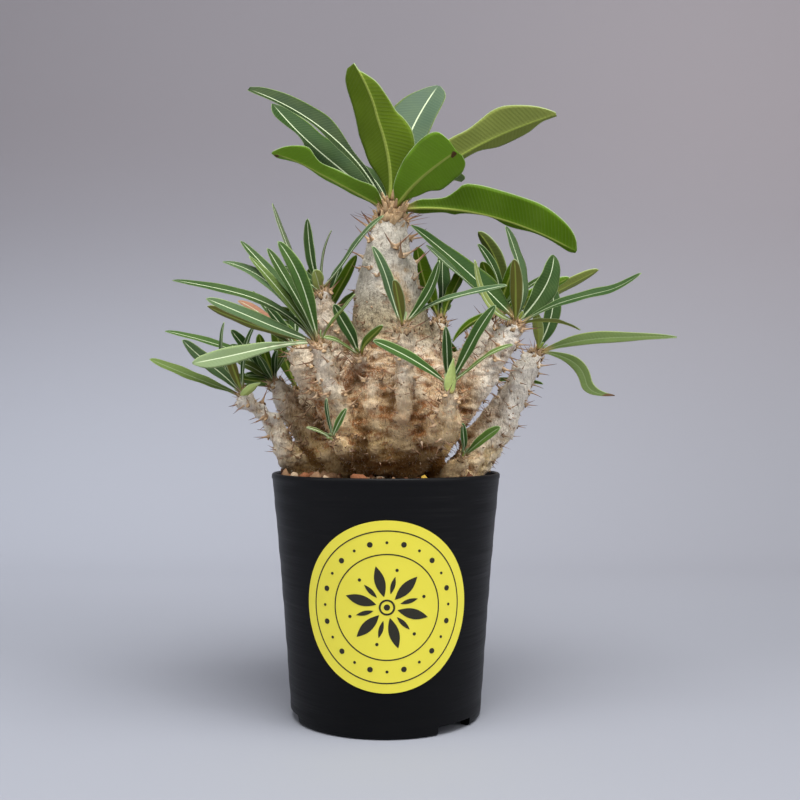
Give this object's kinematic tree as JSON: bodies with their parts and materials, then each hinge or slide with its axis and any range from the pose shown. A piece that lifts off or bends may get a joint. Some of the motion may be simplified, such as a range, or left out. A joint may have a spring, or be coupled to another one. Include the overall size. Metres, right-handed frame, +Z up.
{
  "type": "potted pachypodium",
  "caption": "Potted pachypodium: a squat spiny caudex with many short branches, each topped by a rosette of leaves, in a tapered black nursery pot with a round label.",
  "frame": {"origin": "centre of the pot's foot, on the plane it stands on", "axes": "+Z up along the pot, -Y towards the side with the round label, +X to that side's right"},
  "size_m": [0.275, 0.1642, 0.342],
  "materials": {
    "black_plastic": "matte",
    "yellow_label": "satin",
    "potting_mix": "rough",
    "caudex_skin": "rough",
    "leaf_green": "satin"
  },
  "bodies": {
    "root": {"pot": "black_plastic", "label": "yellow_label", "soil": "potting_mix", "caudex": "caudex_skin", "rosette_top": "leaf_green", "rosette_left_front": "leaf_green", "rosette_left_upper": "leaf_green", "rosette_centre_front": "leaf_green", "rosette_right_front": "leaf_green", "rosette_right_mid": "leaf_green", "rosette_right_far": "leaf_green", "rosette_low_left": "leaf_green", "rosette_left_back": "leaf_green", "rosette_left_middle": "leaf_green", "rosette_small_front": "leaf_green", "rosette_right_back": "leaf_green", "rosette_behind_trunk": "leaf_green", "sprout_left_leaves": "leaf_green", "sprout_right_leaves": "leaf_green", "rosette_back_left": "leaf_green", "rosette_back_low_left": "leaf_green", "rosette_back_middle": "leaf_green", "rosette_back_low_right": "leaf_green"}
  },
  "joints": []
}
